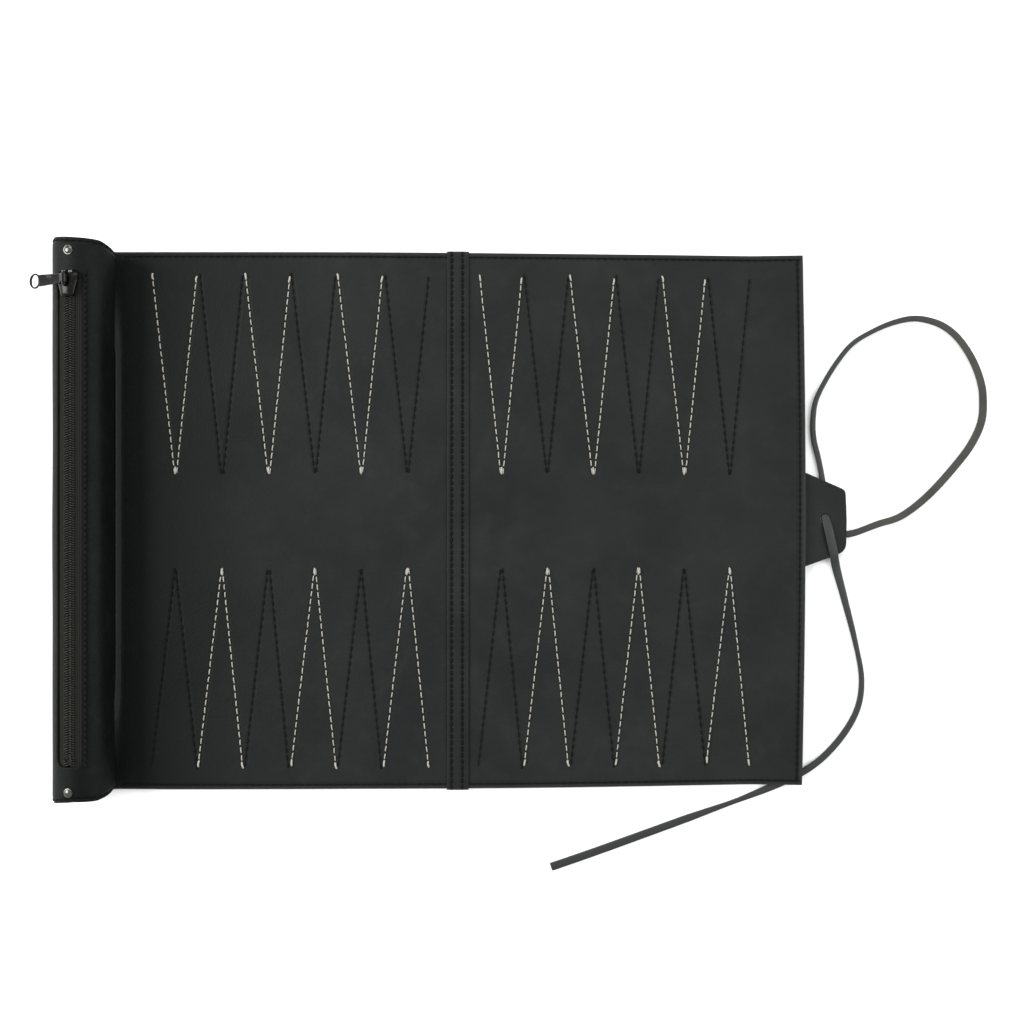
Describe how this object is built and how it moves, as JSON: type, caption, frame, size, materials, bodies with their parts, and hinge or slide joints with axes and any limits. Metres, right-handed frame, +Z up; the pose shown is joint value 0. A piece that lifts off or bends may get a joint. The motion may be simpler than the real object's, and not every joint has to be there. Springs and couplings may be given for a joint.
{
  "type": "roll-up backgammon set",
  "caption": "Roll-up leather backgammon mat with stitched points, a zipped round pouch for the pieces, and a tie lace on an end tab.",
  "frame": {"origin": "on the table under the middle of the bar, on the underside of the bar's backing leather", "axes": "+X from the pouch to the tab with the lace, +Y along the pouch to the end where the zip closes, +Z up from the table"},
  "size_m": [0.4961, 0.3275, 0.0364],
  "materials": {
    "mat_leather": "grained, satin",
    "pouch_leather": "grained, satin",
    "lace_leather": "smooth, satin",
    "cream_thread": "twisted, matte",
    "black_thread": "twisted, matte",
    "zip_tape": "ribbed weave, matte",
    "zip_coil": "satin",
    "black_metal": "gloss, dark nickel",
    "bone_resin": "polished",
    "brown_resin": "polished"
  },
  "bodies": {
    "tab_margin": {"outer_margin": "mat_leather", "tab": "mat_leather", "lace": "lace_leather"},
    "column_1": {"panel_1": "mat_leather", "cream_thread_1": "cream_thread", "dark_thread_1": "black_thread"},
    "column_2": {"panel_2": "mat_leather", "cream_thread_2": "cream_thread", "dark_thread_2": "black_thread"},
    "column_3": {"panel_3": "mat_leather", "cream_thread_3": "cream_thread", "dark_thread_3": "black_thread"},
    "column_4": {"panel_4": "mat_leather", "cream_thread_4": "cream_thread", "dark_thread_4": "black_thread"},
    "column_5": {"panel_5": "mat_leather", "cream_thread_5": "cream_thread", "dark_thread_5": "black_thread"},
    "column_6": {"panel_6": "mat_leather", "cream_thread_6": "cream_thread", "dark_thread_6": "black_thread"},
    "column_7": {"panel_7": "mat_leather", "cream_thread_7": "cream_thread", "dark_thread_7": "black_thread"},
    "column_8": {"panel_8": "mat_leather", "cream_thread_8": "cream_thread", "dark_thread_8": "black_thread"},
    "column_9": {"panel_9": "mat_leather", "cream_thread_9": "cream_thread", "dark_thread_9": "black_thread"},
    "column_10": {"panel_10": "mat_leather", "cream_thread_10": "cream_thread", "dark_thread_10": "black_thread"},
    "column_11": {"panel_11": "mat_leather", "cream_thread_11": "cream_thread", "dark_thread_11": "black_thread"},
    "column_12": {"panel_12": "mat_leather", "cream_thread_12": "cream_thread", "dark_thread_12": "black_thread"},
    "bar": {"bar_panel": "mat_leather", "bar_band": "mat_leather", "bar_thread": "black_thread"},
    "inner_margin": {"inner_margin": "mat_leather"},
    "pouch": {"pouch_wall": "pouch_leather", "pouch_flap": "mat_leather", "pouch_thread": "black_thread", "pouch_rivets": "black_metal", "closed_end_disc": "pouch_leather", "open_end_disc": "pouch_leather", "zip_tape_left": "zip_tape", "zip_tape_right": "zip_tape", "zip_coil_left": "zip_coil", "zip_coil_right": "zip_coil", "zip_stops": "black_metal", "light_checkers": "bone_resin", "dark_checkers": "brown_resin", "dice": "bone_resin", "doubling_cube": "bone_resin"},
    "zip_slider": {"zip_slider": "black_metal"},
    "zip_pull": {"zip_pull": "black_metal"}
  },
  "joints": [
    {"name": "mat_roll", "type": "hinge", "parent": "tab_margin", "child": "column_12", "pos_m": [0.1573, 0, 0.0026], "axis": [0, 1, 0], "range_deg": [0, 37]},
    {"name": "fold_column_11", "type": "hinge", "parent": "column_12", "child": "column_11", "pos_m": [0.1332, 0, 0.0026], "axis": [0, 1, 0], "range_deg": [0, 37]},
    {"name": "fold_column_10", "type": "hinge", "parent": "column_11", "child": "column_10", "pos_m": [0.1091, 0, 0.0026], "axis": [0, 1, 0], "range_deg": [0, 38]},
    {"name": "fold_column_9", "type": "hinge", "parent": "column_10", "child": "column_9", "pos_m": [0.085, 0, 0.0026], "axis": [0, 1, 0], "range_deg": [0, 39]},
    {"name": "fold_column_8", "type": "hinge", "parent": "column_9", "child": "column_8", "pos_m": [0.0609, 0, 0.0026], "axis": [0, 1, 0], "range_deg": [0, 40]},
    {"name": "fold_column_7", "type": "hinge", "parent": "column_8", "child": "column_7", "pos_m": [0.0368, 0, 0.0026], "axis": [0, 1, 0], "range_deg": [0, 42]},
    {"name": "fold_bar", "type": "hinge", "parent": "column_7", "child": "bar", "pos_m": [0.0127, 0, 0.0026], "axis": [0, 1, 0], "range_deg": [0, 44]},
    {"name": "fold_column_6", "type": "hinge", "parent": "bar", "child": "column_6", "pos_m": [-0.0127, 0, 0.0026], "axis": [0, 1, 0], "range_deg": [0, 45]},
    {"name": "fold_column_5", "type": "hinge", "parent": "column_6", "child": "column_5", "pos_m": [-0.0368, 0, 0.0026], "axis": [0, 1, 0], "range_deg": [0, 45]},
    {"name": "fold_column_4", "type": "hinge", "parent": "column_5", "child": "column_4", "pos_m": [-0.0609, 0, 0.0026], "axis": [0, 1, 0], "range_deg": [0, 46]},
    {"name": "fold_column_3", "type": "hinge", "parent": "column_4", "child": "column_3", "pos_m": [-0.085, 0, 0.0026], "axis": [0, 1, 0], "range_deg": [0, 49]},
    {"name": "fold_column_2", "type": "hinge", "parent": "column_3", "child": "column_2", "pos_m": [-0.1091, 0, 0.0026], "axis": [0, 1, 0], "range_deg": [0, 49]},
    {"name": "fold_column_1", "type": "hinge", "parent": "column_2", "child": "column_1", "pos_m": [-0.1332, 0, 0.0026], "axis": [0, 1, 0], "range_deg": [0, 50]},
    {"name": "fold_inner_margin", "type": "hinge", "parent": "column_1", "child": "inner_margin", "pos_m": [-0.1573, 0, 0.0026], "axis": [0, 1, 0], "range_deg": [0, 50]},
    {"name": "fold_pouch", "type": "hinge", "parent": "inner_margin", "child": "pouch", "pos_m": [-0.168, 0, 0.0026], "axis": [0, 1, 0], "range_deg": [0, 49]},
    {"name": "zip_slide", "type": "slide", "parent": "pouch", "child": "zip_slider", "axis": [0, -1, 0], "range_m": [0, 0.229]},
    {"name": "pull_swing", "type": "hinge", "parent": "zip_slider", "child": "zip_pull", "pos_m": [-0.19117, 0.1172, 0.0346], "axis": [0, 1, 0], "range_deg": [0, 220]}
  ],
  "couplings": [
    {"joint": "fold_column_11", "follows": "mat_roll", "ratio": 1},
    {"joint": "fold_column_10", "follows": "mat_roll", "ratio": 1.027},
    {"joint": "fold_column_9", "follows": "mat_roll", "ratio": 1.0541},
    {"joint": "fold_column_8", "follows": "mat_roll", "ratio": 1.0811},
    {"joint": "fold_column_7", "follows": "mat_roll", "ratio": 1.1351},
    {"joint": "fold_bar", "follows": "mat_roll", "ratio": 1.1892},
    {"joint": "fold_column_6", "follows": "mat_roll", "ratio": 1.2162},
    {"joint": "fold_column_5", "follows": "mat_roll", "ratio": 1.2162},
    {"joint": "fold_column_4", "follows": "mat_roll", "ratio": 1.2432},
    {"joint": "fold_column_3", "follows": "mat_roll", "ratio": 1.3243},
    {"joint": "fold_column_2", "follows": "mat_roll", "ratio": 1.3243},
    {"joint": "fold_column_1", "follows": "mat_roll", "ratio": 1.3514},
    {"joint": "fold_inner_margin", "follows": "mat_roll", "ratio": 1.3514},
    {"joint": "fold_pouch", "follows": "mat_roll", "ratio": 1.3243}
  ]
}
